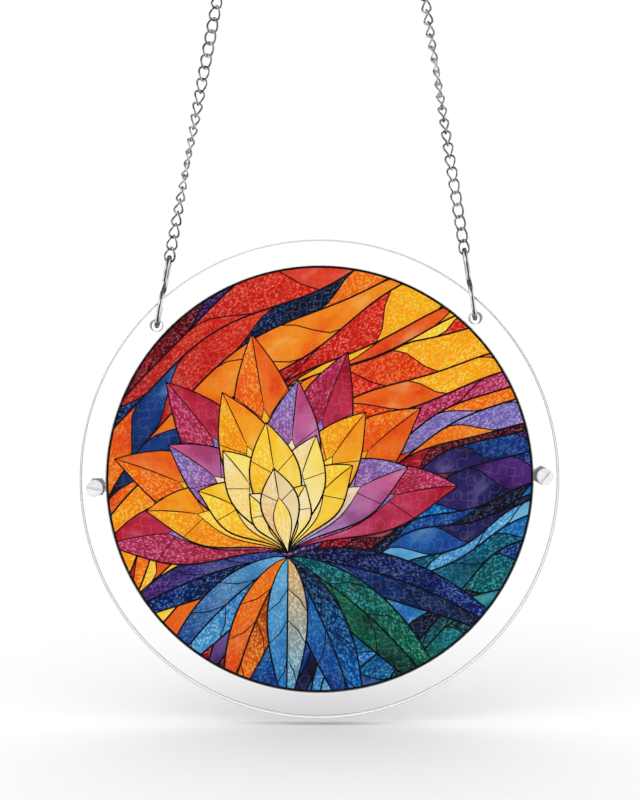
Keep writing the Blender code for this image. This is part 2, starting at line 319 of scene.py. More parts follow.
class Paint:
    """The node tree of a material or a world."""

    def __init__(self, owner):
        owner.use_nodes = True
        self.tree = owner.node_tree

    def node(self, kind, settings=None, values=None, output=0):
        """Adds a node: its settings come first, then numbers or links for its sockets."""
        made = self.tree.nodes.new(kind)
        for name, setting in (settings or {}).items():
            setattr(made, name, setting)
        for socket, value in (values or {}).items():
            self.put(made.inputs[socket], value)
        return Value(self, made.outputs[output])

    def put(self, socket, value):
        if isinstance(value, Value):
            self.tree.links.new(value.socket, socket)
        else:
            socket.default_value = value

    def maths(self, operation, *values):
        return self.node("ShaderNodeMath", {"operation": operation}, dict(enumerate(values)))

    def mix(self, share, first, second):
        """A colour between two; share 0 gives the first."""
        settings = {"data_type": "RGBA"}
        return self.node("ShaderNodeMix", settings, {0: share, 6: first, 7: second}, 2)

    def smooth(self, value, low, high, start=0.0, end=1.0):
        """Goes smoothly from start to end as the value goes from low to high."""
        settings = {"interpolation_type": "SMOOTHSTEP"}
        values = {0: value, 1: low, 2: high, 3: start, 4: end}
        return self.node("ShaderNodeMapRange", settings, values)

    def place(self, scale=(1, 1, 1)):
        """Object coordinates, scaled."""
        here = self.node("ShaderNodeTexCoord", output="Object")
        return self.node("ShaderNodeMapping", {}, {"Vector": here, "Scale": scale})

    def noise(self, where, scale, detail=2.0):
        values = {"Vector": where, "Scale": scale, "Detail": detail}
        return self.node("ShaderNodeTexNoise", {}, values)

    def bump(self, height, strength, distance):
        values = {"Strength": strength, "Distance": distance, "Height": height}
        return self.node("ShaderNodeBump", {}, values)

    def attribute(self, name, output="Fac"):
        return self.node("ShaderNodeAttribute", {"attribute_name": name}, output=output)


def linear(colour):
    return (*Color(colour).from_srgb_to_scene_linear(), 1.0)


def new_surface(name, **constants):
    """A material with its constants set on the shader; underscores stand for spaces."""
    material = bpy.data.materials.new(name)
    paint = Paint(material)
    shader = paint.tree.nodes["Principled BSDF"]
    for socket, value in constants.items():
        shader.inputs[socket.replace("_", " ")].default_value = value
    return material, paint, shader


def polished_sheet():
    """Polished cast sheet, with the faintest haze of wiping marks."""
    material, paint, shader = new_surface(
        "polished_sheet",
        Transmission_Weight=1.0,
        IOR=ACRYLIC_IOR,
        Specular_Tint=(0.1, 0.1, 0.1, 1),
        Base_Color=(0.997, 0.998, 1.0, 1),
    )
    marks = paint.noise(paint.place((90, 90, 14)), 3.0)
    paint.put(shader.inputs["Roughness"], paint.smooth(marks, 0.45, 0.75, 0.0, 0.03))
    return material


def sawn_edge(front_edge):
    """The sawn and flamed edge of the sheet: satin and faintly blue.

    It is greyer on the front bevel, which ends at the depth of the front edge: that darker grey is
    painted shade.
    """
    material, paint, shader = new_surface("sawn_edge", Transmission_Weight=0.85, IOR=ACRYLIC_IOR)
    depth = paint.node("ShaderNodeSeparateXYZ", {}, {"Vector": paint.place()}, "Y")
    # Mask of the front bevel, where the darker grey of painted shade goes
    bevel = paint.smooth(depth, front_edge, front_edge + EDGE_FADE, 1.0, 0.0)
    # The darker grey is painted shade on the front bevel
    blue_grey, grey = (0.64, 0.67, 0.73, 1), (0.44, 0.46, 0.50, 1)
    paint.put(shader.inputs["Base Color"], paint.mix(bevel, blue_grey, grey))
    saw = paint.noise(paint.place(), 900.0)
    paint.put(shader.inputs["Roughness"], paint.smooth(saw, 0.3, 0.7, 0.22, 0.40))
    paint.put(shader.inputs["Normal"], paint.bump(saw, 0.15, 0.0001))
    return material


def moulded_plastic():
    """Clear moulded plastic of the screws and nuts, grainy and faintly grey."""
    material, paint, shader = new_surface(
        "moulded_plastic",
        Transmission_Weight=0.15,
        IOR=ACRYLIC_IOR,
        Specular_Tint=(0.3, 0.3, 0.3, 1),
    )
    grain = paint.noise(paint.place(), 1400.0, 3.0)
    cloud = paint.noise(paint.place(), 420.0)
    dark, light = (0.84, 0.84, 0.86, 1), (0.98, 0.98, 0.99, 1)
    paint.put(shader.inputs["Base Color"], paint.mix(paint.smooth(cloud, 0.3, 0.65), dark, light))
    paint.put(shader.inputs["Roughness"], paint.smooth(grain, 0.3, 0.7, 0.12, 0.38))
    paint.put(shader.inputs["Normal"], paint.bump(grain, 0.3, 0.0002))
    return material


def plated_steel(name, light, dark, gloss):
    """Bright plated wire with fine drawing marks and slight tarnish."""
    material, paint, shader = new_surface(name, Metallic=1.0)
    marks = paint.noise(paint.place((1, 1, 0.15)), 2600.0, 3.0)
    tarnish = paint.noise(paint.place(), 260.0)
    tone = paint.mix(paint.smooth(tarnish, 0.35, 0.7), light, dark)
    paint.put(shader.inputs["Base Color"], tone)
    paint.put(shader.inputs["Roughness"], paint.smooth(marks, 0.3, 0.75, gloss, gloss + 0.12))
    paint.put(shader.inputs["Normal"], paint.bump(marks, 0.04, 0.00005))
    return material


def printed_glass(picture):
    """Reads each pane's tint, grain and flow, and prints hammered or cloudy glass with them; it
    also gives off that colour as a painted backlight.
    """
    material, paint, shader = new_surface(
        "printed_glass",
        IOR=ACRYLIC_IOR,
        Specular_IOR_Level=0.05,
        Emission_Strength=picture.painted_backlight,
    )
    tint, grain = paint.attribute("tint", "Color"), paint.attribute("grain")
    lead, cut = paint.attribute("lead"), paint.attribute("cut")
    lead_black, cut_grey = (0.002, 0.002, 0.003, 1), (0.62, 0.62, 0.66, 1)
    here = paint.node("ShaderNodeTexCoord", output="Object")
    turned = paint.node(
        "ShaderNodeVectorRotate",
        {"rotation_type": "AXIS_ANGLE"},
        {"Vector": here, "Axis": (0, 1, 0), "Angle": paint.attribute("flow")},
    )
    along = paint.node("ShaderNodeMapping", {}, {"Vector": turned, "Scale": (0.55, 1, 1)})
    pebble = {"Vector": along, "Scale": 1 / picture.grain_size}
    pebbles = paint.node("ShaderNodeTexVoronoi", {}, pebble, "Distance")
    luck = paint.node("ShaderNodeTexVoronoi", {}, pebble, "Color")
    clouds = paint.noise(along, 0.09 / picture.grain_size, 2.0)
    crown = paint.smooth(pebbles, 0.15, 0.45, 1.0, 0.0)
    glint = crown * paint.smooth(luck, 0.25, 0.60, 0.30, 1.0)
    gap = paint.smooth(pebbles, 0.36, 0.60)
    strength = grain * picture.grain_depth
    bright = paint.node("ShaderNodeGamma", {}, {"Color": tint, "Gamma": 0.36})
    deep = paint.node("ShaderNodeGamma", {}, {"Color": tint, "Gamma": 1.9})
    paler = paint.mix(glint * strength, tint, bright)
    deeper = paint.mix(gap * strength, paler, deep)
    milky = paint.smooth(clouds, 0.54, 0.78) * (1 - grain) * 0.45
    cloudy = paint.mix(milky, deeper, bright)
    shade = paint.smooth(clouds, 0.30, 0.52, 1.0, 0.0) * 0.70
    shaded = paint.mix(shade, cloudy, deep)
    lined = paint.mix(lead, shaded, lead_black)
    colour = paint.mix(cut * picture.cut_mark, lined, cut_grey)
    paint.put(shader.inputs["Base Color"], colour)
    # Painted backlight: the print's colour is also given off as emission, so the panel glows as if
    # lit from behind
    paint.put(shader.inputs["Emission Color"], colour)
    paint.put(shader.inputs["Roughness"], paint.smooth(pebbles, 0.1, 0.6, 0.18, 0.32))
    return material


def pale_floor(stage):
    """Matt pale paper, faintly uneven, that fades away towards the floor's edge."""
    material, paint, shader = new_surface("pale_floor", Roughness=0.9, Specular_IOR_Level=0.0)
    soft = paint.noise(paint.place(), 3.0)
    light = linear(stage.floor_colour)
    dark = (*(0.985 * share for share in light[:3]), 1.0)
    paint.put(shader.inputs["Base Color"], paint.mix(soft, light, dark))
    here = {0: paint.place()}
    away = paint.node("ShaderNodeVectorMath", {"operation": "LENGTH"}, here, "Value")
    fade = paint.smooth(away, stage.floor_core, stage.floor_radius, 1.0, 0.0)
    paint.put(shader.inputs["Alpha"], fade)
    return material


def material_named(name, make, *arguments):
    """The material of that name, made on first use. No packed material has these names."""
    return bpy.data.materials.get(name) or make(*arguments)


def steel(name):
    tones = {
        "bright_wire": ((0.82, 0.82, 0.84, 1), (0.58, 0.58, 0.61, 1), 0.08),
        "chain_wire": ((0.70, 0.70, 0.72, 1), (0.36, 0.36, 0.38, 1), 0.10),
    }
    return material_named(name, plated_steel, name, *tones[name])


# Modelling helpers


def only(*objects):
    """Selects these objects alone; the first is the active one."""
    bpy.ops.object.select_all(action="DESELECT")
    for obj in objects:
        obj.select_set(True)
    bpy.context.view_layer.objects.active = objects[0]


def apply_modifier(obj, kind, **settings):
    modifier = obj.modifiers.new(kind.title(), kind)
    for name, setting in settings.items():
        setattr(modifier, name, setting)
    only(obj)
    bpy.ops.object.modifier_apply(modifier=modifier.name)


def select_where(test):
    """In edit mode, selects the active mesh's faces for which the test is true."""
    bpy.ops.mesh.select_mode(type="FACE")
    bpy.ops.mesh.select_all(action="DESELECT")
    bpy.ops.object.mode_set(mode="OBJECT")
    for face in bpy.context.object.data.polygons:
        face.select = test(face)
    bpy.ops.object.mode_set(mode="EDIT")


def cylinder(radius, low, high, segments, at=(0, 0), turn=0.0):
    """A cylinder along Y from low to high, about a place given across and up."""
    bpy.ops.object.select_all(action="DESELECT")
    bpy.ops.mesh.primitive_cylinder_add(
        vertices=segments,
        radius=radius,
        depth=high - low,
        location=(at[0], (low + high) / 2, at[1]),
        rotation=(math.pi / 2, turn, 0),
    )
    made = bpy.context.object
    bpy.ops.object.transform_apply(location=True, rotation=True, scale=True)
    return made


def cut_with(obj, cutters, operation="DIFFERENCE"):
    for cutter in cutters:
        apply_modifier(obj, "BOOLEAN", operation=operation, object=cutter, solver="EXACT")
        bpy.data.objects.remove(cutter, do_unlink=True)


def settle(obj, name, node, place=Matrix.Identity(4)):
    """Names a finished piece, puts its place in its mesh, and lets it stand for its node."""
    obj.name = name
    obj.data.name = name
    obj.data.transform(place @ obj.matrix_world)
    obj.matrix_world = Matrix.Identity(4)
    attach(obj, "root")
    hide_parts(node)
    return obj


def shade(obj, degrees=35):
    """Smooths across small angles, and keeps large flat faces flat beside their bevels."""
    only(obj)
    bpy.ops.object.shade_smooth_by_angle(angle=math.radians(degrees))
    apply_modifier(obj, "WEIGHTED_NORMAL", weight=100, keep_sharp=True)


# Clear parts


def fixing_place(clear, side, angle):
    """Across and up from the discs' centre, for a hole on one side."""
    return side * clear.hole_circle * math.cos(angle), clear.hole_circle * math.sin(angle)


def screw_place(clear, side):
    """The frame that a screw and its nut share, on one side of the discs."""
    across, up = fixing_place(clear, side, -clear.screw_dip)
    return disc_place() @ Matrix.Translation((across, 0, up))


def stack_depths(node):
    """A node's lowest and highest depth in the discs' own frame."""
    middle = box_centre("picture_panel").y
    return tuple(depth - middle for depth in depth_range(node))


def hole_cutters(clear, low, high):
    reach = high - low
    cutters = []
    for side in (-1, 1):
        hanging = fixing_place(clear, side, clear.hole_angle)
        screw = fixing_place(clear, side, -clear.screw_dip)
        for place, radius in ((hanging, clear.hole_radius), (screw, clear.screw_hole_radius)):
            cutters.append(cylinder(radius, low - reach, high + reach, HOLE_SIDES, place))
    return cutters


def clear_layer(clear, name, inner_radius=0.0):
    """One layer of the stack: drilled and bevelled, and clear all over but for two places.

    A disc's outermost bevels and the bores of its holes keep the satin of the cut.
    """
    low, high = stack_depths(name)
    layer = cylinder(half_width(name), low, high, clear.rim_segments)
    cutters = hole_cutters(clear, low, high)
    if inner_radius:
        reach = high - low
        cutters.append(cylinder(inner_radius, low - reach, high + reach, clear.rim_segments))
    cut_with(layer, cutters)
    apply_modifier(
        layer,
        "BEVEL",
        width=clear.edge_bevel / 2 if inner_radius else clear.edge_bevel,
        segments=2,
        limit_method="ANGLE",
        angle_limit=math.radians(60),
    )
    layer.data.materials.append(material_named("polished_sheet", polished_sheet))
    front_edge = depth_range("front_disc")[0] + clear.edge_bevel
    layer.data.materials.append(material_named("sawn_edge", sawn_edge, front_edge))
    outermost = max(abs(low), abs(high)) - clear.edge_bevel
    rim = half_width(name) - 1.5 * clear.edge_bevel
    for face in layer.data.polygons:
        flat = abs(face.normal.y) > 0.999
        slanted = not flat and abs(face.normal.y) > 0.01
        bore = not flat and inner_radius + clear.edge_bevel < face.center.xz.length < rim
        edge = slanted and not inner_radius and abs(face.center.y) > outermost
        face.material_index = SATIN if bore or edge else POLISHED
    shade(layer)
    return settle(layer, "clear_" + name, name, disc_place())


class SUNCATCHER_OT_discs(bpy.types.Operator):
    """Make the two clear discs and the ring that spaces them"""

    bl_idname = "suncatcher.discs"
    bl_label = "Clear Discs"

    def execute(self, context):
        clear = context.scene.suncatcher.clear
        clear_layer(clear, "front_disc")
        clear_layer(clear, "back_disc")
        gap = context.scene.suncatcher.wire.contact_gap
        clear_layer(clear, "spacer_ring", half_width("picture_panel") + gap)
        return {"FINISHED"}


def screw(clear, side_name, side, slot_turn):
    """A slotted clear screw: bevelled head, slot, and a shank with thread ridges."""
    node = "screw_" + side_name
    low, high = stack_depths(node)
    under_head = low + clear.head_height
    piece = cylinder(half_width(node), low, under_head, HEAD_SIDES)
    bpy.ops.object.mode_set(mode="EDIT")
    select_where(lambda face: face.normal.y < -0.9)
    bpy.ops.mesh.bevel(offset=clear.head_bevel, segments=4, affect="EDGES")
    select_where(lambda face: face.normal.y > 0.9)
    bpy.ops.mesh.inset(thickness=half_width(node) - clear.shank_radius)
    root_scale = 1 - clear.thread_depth / clear.shank_radius
    turns = int((high - under_head) / clear.thread_pitch)
    step = (high - under_head) / turns / 2
    for _ in range(turns):
        for scale in (root_scale, 1 / root_scale):
            bpy.ops.mesh.extrude_region_move(TRANSFORM_OT_translate={"value": (0, step, 0)})
            bpy.ops.transform.resize(value=(scale, 1, scale))
    bpy.ops.object.mode_set(mode="OBJECT")

    bpy.ops.object.select_all(action="DESELECT")
    bpy.ops.mesh.primitive_cube_add(size=1, location=(0, low, 0), rotation=(0, slot_turn, 0))
    slot = bpy.context.object
    slot.scale = (4 * half_width(node), 2 * clear.slot_width, clear.slot_width)
    bpy.ops.object.transform_apply(location=True, rotation=True, scale=True)
    cut_with(piece, [slot])
    piece.data.materials.append(material_named("moulded_plastic", moulded_plastic))
    shade(piece, 40)
    return settle(piece, "clear_" + node, node, screw_place(clear, side))


def nut(clear, side_name, side, turn):
    """A hexagon nut with chamfered corners and a bore."""
    node = "nut_" + side_name
    low, high = stack_depths(node)
    flats = clear.nut_flats
    corner = flats / math.sqrt(3)
    chamfer = (corner - flats / 2) * 1.4
    reach = 0.01
    piece = cylinder(corner, low, high, 6, turn=turn + math.pi / 6)
    round_blank = cylinder(corner, low, high, HEAD_SIDES)
    bpy.ops.object.mode_set(mode="EDIT")
    select_where(lambda face: abs(face.normal.y) > 0.9)
    bpy.ops.mesh.bevel(offset=chamfer, segments=1, affect="EDGES")
    bpy.ops.object.mode_set(mode="OBJECT")
    cut_with(piece, [round_blank], "INTERSECT")
    cut_with(piece, [cylinder(clear.screw_hole_radius, low - reach, high + reach, HOLE_SIDES)])
    apply_modifier(
        piece,
        "BEVEL",
        width=NUT_BEVEL,
        segments=1,
        limit_method="ANGLE",
        angle_limit=math.radians(50),
    )
    piece.data.materials.append(material_named("moulded_plastic", moulded_plastic))
    shade(piece, 30)
    return settle(piece, "clear_" + node, node, screw_place(clear, side))


class SUNCATCHER_OT_fixings(bpy.types.Operator):
    """Make the clear screws and nuts"""

    bl_idname = "suncatcher.fixings"
    bl_label = "Screws and Nuts"

    def execute(self, context):
        clear = context.scene.suncatcher.clear
        screw(clear, "left", -1, clear.left_slot)
        screw(clear, "right", 1, clear.right_slot)
        nut(clear, "left", -1, clear.left_nut)
        nut(clear, "right", 1, clear.right_nut)
        return {"FINISHED"}


# Picture


class Drawing:
    """Shapes in the order of painting, as a designer stacks them, on a disc of radius 1.

    Every outline is then cut into one flat mesh, in which each face knows the top
    shape that covers it and whether a lead line or a jigsaw cut runs over it.
    """

    GLASS, LEAD, CUT, DISC, INSIDE = range(5)

    def __init__(self):
        self.points = []
        self.outlines = []
        self.kinds = []
        self.panes = []

    def outline(self, path, kind, pane=None):
        area = sum(a.cross(b) for a, b in zip(path, path[1:] + path[:1]))
        if area < 0:
            path = path[::-1]
        first = len(self.points)
        self.points.extend(path)
        self.outlines.append(list(range(first, len(self.points))))
        self.kinds.append(kind)
        self.panes.append(pane)

    def pane(self, path, tints, grain, flow):
        """A region of glass whose tint runs from one colour to the other along the flow."""
        self.outline(path, self.GLASS, (path, tints, grain, flow))

    def line(self, path, width, kind=LEAD, taper=0.35):
        """A strip along a path, widest in its middle."""
        left, right = [], []
        for i, point in enumerate(path):
            ahead = path[min(i + 1, len(path) - 1)] - path[max(i - 1, 0)]
            if ahead.length < 1e-9:
                continue
            across = Vector((-ahead.y, ahead.x)).normalized()
            swell = 1 - taper + taper * math.sin(math.pi * i / (len(path) - 1))
            left.append(point + across * width / 2 * swell)
            right.append(point - across * width / 2 * swell)
        self.outline(left + right[::-1], kind)

    def look(self, cover):
        """What a face under these shapes shows: its top pane, or None for lead, and any cut.

        A face off the disc has no look.
        """
        kinds = {self.kinds[k] for k in cover}
        if self.DISC not in kinds:
            return None
        top = max((k for k in cover if self.kinds[k] in (self.GLASS, self.LEAD)), default=None)
        if top is None or self.panes[top] is None or self.INSIDE not in kinds:
            return None, False
        return top, self.CUT in kinds


def curve_points(start, heading, length, bend, count=18):
    """A path of even curvature: it starts along a heading and turns by the bend."""
    step = length / count
    path = [Vector(start)]
    for i in range(count):
        angle = heading + bend * (i + 0.5) / count
        path.append(path[-1] + step * Vector((math.cos(angle), math.sin(angle))))
    return path


def blade_edges(spine, width, fullness):
    """Both edges of a pointed blade about its spine; fullness sets where it is widest."""
    left, right = [], []
    for i, point in enumerate(spine):
        share = i / (len(spine) - 1)
        ahead = (spine[min(i + 1, len(spine) - 1)] - spine[max(i - 1, 0)]).normalized()
        half = width / 2 * math.sin(math.pi * share**fullness)
        across = Vector((-ahead.y, ahead.x))
        left.append(point + across * half)
        right.append(point - across * half)
    return left, right


def circle_path(radius, segments):
    turns = [2 * math.pi * i / segments for i in range(segments)]
    return [radius * Vector((math.cos(turn), math.sin(turn))) for turn in turns]


RIBBON_CENTRE = Vector((1.5, -1.9))
RIBBON_START = math.radians(98)
RIBBON_SWEEP = math.radians(60)
RIBBON_STEPS = 54
# How far the outermost and innermost bands lie from their centre
RIBBON_OUTER = 3.56
RIBBON_INNER = 1.30
# The least width of a band
RIBBON_PINCH = 0.004
# Splits of a band: how many, the first one's step, the steps between them, and their play
SPLIT_COUNT = 6
SPLIT_FIRST = 6
SPLIT_SPACING = 7
SPLIT_PLAY = 3
RIBBON_TINTS = (
    ("maroon", "crimson"), ("violet", "indigo"), ("crimson", "coral"), ("navy", "cobalt"),
    ("flame", "amber"), ("coral", "crimson"), ("amber", "gold"), ("flame", "coral"),
    ("gold", "lemon"), ("flame", "amber"), ("crimson", "rose"), ("amber", "flame"),
    ("violet", "lilac"), ("crimson", "maroon"), ("indigo", "violet"), ("navy", "cobalt"),
    ("cobalt", "azure"), ("navy", "indigo"), ("azure", "sky"), ("teal", "azure"),
    ("cobalt", "navy"), ("jade", "teal"), ("forest", "teal"), ("navy", "cobalt"),
)
GRAINS = (0.0, 0.7, 0.9, 1.0)


def ribbon_edges(count, draws):
    """How far each edge of the bands lies from their centre, at each step along it.

    An edge stays inside the one before it, so bands pinch together and never cross.
    """
    widths = [draws.uniform(0.5, 1.5) for _ in range(count)]
    edges = []
    radius = RIBBON_OUTER
    for width in [0] + widths:
        radius -= (RIBBON_OUTER - RIBBON_INNER) * width / sum(widths)
        lift, phase = draws.uniform(0.03, 0.06), draws.uniform(0, 2 * math.pi)
        edge = []
        for k in range(RIBBON_STEPS + 1):
            turn = RIBBON_START + RIBBON_SWEEP * k / RIBBON_STEPS
            wave = math.sin(9 * turn + phase) + math.sin(21 * turn + phase) / 3
            limit = edges[-1][k] - RIBBON_PINCH if edges else math.inf
            edge.append(min(radius + lift * wave, limit))
        edges.append(edge)
    return edges


def ribbon_place(edges, band, step, share):
    """A point of a band at a step along it; the share goes from its outer edge inwards."""
    turn = RIBBON_START + RIBBON_SWEEP * step / RIBBON_STEPS
    outer, inner = edges[band][step], edges[band + 1][step]
    reach = outer + (inner - outer) * share
    return RIBBON_CENTRE + reach * Vector((math.cos(turn), math.sin(turn)))


def draw_ribbons(drawing, picture, draws, unit):
    """Uneven wavy bands, warm above and cool below, each split into long slanting panes.

    A split has a point at every step, so it stays inside its band where that is narrow.
    """
    edges = ribbon_edges(picture.ribbon_count, draws)
    steps = range(RIBBON_STEPS + 1)
    for band in range(picture.ribbon_count):
        outer = [ribbon_place(edges, band, k, 0) for k in steps]
        inner = [ribbon_place(edges, band, k, 1) for k in steps]
        flow = math.radians(38 + draws.uniform(-12, 12))
        tints = RIBBON_TINTS[band % len(RIBBON_TINTS)]
        drawing.pane(outer + inner[::-1], tints, draws.choice(GRAINS), flow)
        way = draws.choice((-1, 1))
        for k in range(SPLIT_COUNT):
            place = SPLIT_FIRST + SPLIT_SPACING * k + draws.randrange(SPLIT_PLAY)
            lean = draws.randrange(3, 7)
            split = []
            for j in range(lean + 1):
                share = (j / lean) ** 2 * (3 - 2 * j / lean)
                split.append(ribbon_place(edges, band, place + way * j, share))
            tints = RIBBON_TINTS[(band + draws.choice((-1, 0, 0, 1))) % len(RIBBON_TINTS)]
            beyond = split[::-1] + outer[place + 1 :] + inner[: place + way * lean : -1]
            drawing.pane(beyond, tints[:: draws.choice((-1, 1))], draws.choice(GRAINS), flow)
            drawing.line(split, picture.fine_line * unit, taper=0.0)
        drawing.line(outer, picture.line_width * unit, taper=0.0)


def draw_leaf(drawing, picture, unit, spine, width, tints, fullness=0.75, veins=3):
    """A long leaf: two halves along its midrib, each split by slanting veins."""
    left, right = blade_edges(spine, width, fullness)
    ahead = spine[-1] - spine[0]
    flow = math.atan2(ahead.y, ahead.x)
    drawing.pane(left + spine[::-1], tints[:2], 1.0, flow)
    drawing.pane(spine + right[::-1], tints[1:], 0.55, flow)
    for edge in (left, right):
        for k in range(veins):
            at = int((k + 1) / (veins + 1) * len(spine) * 0.85)
            tip = min(at + 3, len(spine) - 1)
            bow = (spine[at] + edge[tip]) / 2 + (edge[tip] - spine[at]).orthogonal() * 0.08
            drawing.line([spine[at], bow, edge[tip]], picture.fine_line * unit)
    drawing.line(spine, picture.line_width * unit)
    drawing.line(left, picture.line_width * unit)
    drawing.line(right, picture.line_width * unit)


def draw_petal(drawing, picture, unit, base, heading, length, width, tints, bend=0.0):
    """A full pointed petal: two halves, barred across, round a flame-shaped pane."""
    spine = curve_points(base, heading - bend / 2, length, bend, 15)
    left, right = blade_edges(spine, width, 1.25)
    drawing.pane(left + spine[::-1], tints[:2], 0.9, heading)
    drawing.pane(spine + right[::-1], tints[1::-1], 0.0, heading)
    for edge in (left, right):
        drawing.line([spine[9], edge[11]], picture.fine_line * unit)
    heart_length, heart_width = 0.66, 0.46
    heart = curve_points(
        base, heading - bend / 2, length * heart_length, bend * heart_length, 11
    )
    inner_left, inner_right = blade_edges(heart, width * heart_width, 1.3)
    drawing.pane(inner_left + inner_right[::-1], tints[1:], 0.8, heading)
    drawing.line(inner_left, picture.fine_line * unit)
    drawing.line(inner_right, picture.fine_line * unit)
    drawing.line(spine[10:], picture.fine_line * unit)
    drawing.line(left, picture.line_width * unit)
    drawing.line(right, picture.line_width * unit)


def draw_flower(drawing, picture, unit):
    """Tiers of petals that fan from one point, the long outer ones first."""
    base = Vector((-0.16, -0.34))
    lean = math.radians(98)
    tiers = (
        (7, 78, 1.04, 0.30, (("crimson", "rose", "lilac"), ("flame", "amber", "gold"))),
        (6, 64, 0.84, 0.28, (("amber", "gold", "lemon"), ("rose", "lilac", "cream"))),
        (5, 46, 0.62, 0.24, (("gold", "lemon", "cream"), ("lemon", "cream", "cream"))),
        (3, 24, 0.40, 0.18, (("cream", "lemon", "gold"), ("sand", "cream", "lemon"))),
    )
    for count, spread, length, width, schemes in tiers:
        order = sorted(range(count), key=lambda k: -abs(k - (count - 1) / 2))
        for k in order:
            offset = 2 * k / (count - 1) - 1
            heading = lean - math.radians(spread) * offset
            reach = length * (1 - 0.16 * abs(offset))
            bend = -0.7 * offset
            scheme = schemes[k % len(schemes)]
            draw_petal(drawing, picture, unit, base, heading, reach, width, scheme, bend)


def draw_leaves(drawing, picture, unit):
    """Long leaves that sweep out from under the flower."""
    base = Vector((-0.16, -0.36))
    blades = (
        (184, 0.96, 0.19, 34, ("navy", "cobalt", "violet")),
        (-6, 1.24, 0.20, -34, ("indigo", "cobalt", "navy")),
        (210, 0.92, 0.20, 30, ("azure", "sky", "cobalt")),
        (-32, 1.14, 0.22, -28, ("teal", "jade", "forest")),
        (238, 0.84, 0.20, 20, ("rust", "amber", "flame")),
        (-60, 0.96, 0.21, -20, ("navy", "azure", "cobalt")),
        (268, 0.74, 0.19, 0, ("sand", "sky", "azure")),
    )
    for degrees, length, width, bend, tints in blades:
        spine = curve_points(base, math.radians(degrees), length, math.radians(bend), 20)
        draw_leaf(drawing, picture, unit, spine, width, tints)


# The jigsaw's lengths, as shares of a piece's side
KNOB_RADIUS = 0.19
SHOULDERS = (0.18, 0.82)
SHOULDER_DIP = 0.06
CORNER_SHIFT = 0.14
# Half the angle of a knob's open neck, and the steps round the knob
KNOB_NECK = math.radians(38)
KNOB_STEPS = 8


def jigsaw_edge(start, end, side):
    """One side of a jigsaw piece, as three paths: up to its round knob, round it, and on.

    They are apart because one strip would fold over itself at the knob's sharp neck.
    """
    along = end - start
    up = Vector((-along.y, along.x)) * side
    knob = []
    for i in range(KNOB_STEPS + 1):
        turn = 1.5 * math.pi - KNOB_NECK - (2 * math.pi - 2 * KNOB_NECK) * i / KNOB_STEPS
        across = 0.5 + KNOB_RADIUS * math.cos(turn)
        rise = KNOB_RADIUS * (math.cos(KNOB_NECK) + math.sin(turn))
        knob.append(start + along * across + up * rise)
    shoulders = [start + along * share - up * SHOULDER_DIP for share in SHOULDERS]
    return [start, shoulders[0], knob[0]], knob, [knob[-1], shoulders[1], end]


def draw_cuts(drawing, picture, draws, unit):
    """The jigsaw: a grid of corners a little out of true, joined by knobbed edges."""
    pitch = picture.cut_pitch * unit
    half = math.ceil(1 / pitch)
    corners = {}
    for i in range(-half, half + 1):
        for j in range(-half, half + 1):
            shift = Vector((draws.uniform(-1, 1), draws.uniform(-1, 1))) * CORNER_SHIFT
            corners[i, j] = (Vector((i, j)) + shift) * pitch
    for (i, j), corner in corners.items():
        for step in ((1, 0), (0, 1)):
            following = corners.get((i + step[0], j + step[1]))
            side = draws.choice((-1, 1))
            if following is None or (corner + following).length / 2 > 1:
                continue
            for path in jigsaw_edge(corner, following, side):
                drawing.line(path, picture.cut_width * unit, Drawing.CUT, 0.0)


def cut_sheet(drawing):
    """The disc's points, its triangles and what each of them shows.

    The first cut holds every outline, the painted-over ones too. Only the edges where the
    look changes go into the second, so what is hidden leaves no triangles behind.
    """
    points, _, faces, _, _, covers = delaunay_2d_cdt(
        drawing.points, [], drawing.outlines, 1, MERGE_DISTANCE
    )
    looks = [drawing.look(cover) for cover in covers]
    beside = {}
    for face, look in zip(faces, looks):
        for edge in zip(face, face[1:] + face[:1]):
            beside[edge] = look
    changes = set()
    for (a, b), look in beside.items():
        if look != beside.get((b, a)):
            changes.add((min(a, b), max(a, b)))
    edges = sorted(changes)
    used = sorted({k for edge in edges for k in edge})
    number = {k: i for i, k in enumerate(used)}
    finder = BVHTree.FromPolygons([point.to_3d() for point in points], faces)
    kept_points = [points[k] for k in used]
    kept_edges = [(number[a], number[b]) for a, b in edges]
    points, _, faces, _, _, _ = delaunay_2d_cdt(kept_points, kept_edges, [], 0, MERGE_DISTANCE)
    shown = []
    for face in faces:
        middle = sum((points[k] for k in face), Vector((0, 0))) / len(face)
        shown.append(looks[finder.find_nearest(middle.to_3d())[2]] or (None, False))
    return points, faces, shown


def picture_mesh(drawing, radius, low, high, tint_of):
    """Cuts the drawing into one flat sheet and gives it both faces and a wall."""
    points, corners, looks = cut_sheet(drawing)
    count = len(points)
    places = [(p.x * radius, low, p.y * radius) for p in points]
    places += [(p.x * radius, high, p.y * radius) for p in points]
    sheet = [tuple(face) for face in corners]
    sheet += [tuple(count + k for k in reversed(face)) for face in corners]
    looks += looks
    rim = {}
    for face in corners:
        for a, b in zip(face, face[1:] + face[:1]):
            rim[a, b] = (b, a) not in rim
            if (b, a) in rim:
                rim[b, a] = rim[a, b] = False
    for (a, b), free in rim.items():
        if free:
            sheet.append((b, a, count + a, count + b))
            looks.append((None, False))
    mesh = bpy.data.meshes.new("picture_panel")
    mesh.from_pydata(places, [], sheet)
    write_looks(mesh, drawing, looks, radius, tint_of)
    return mesh


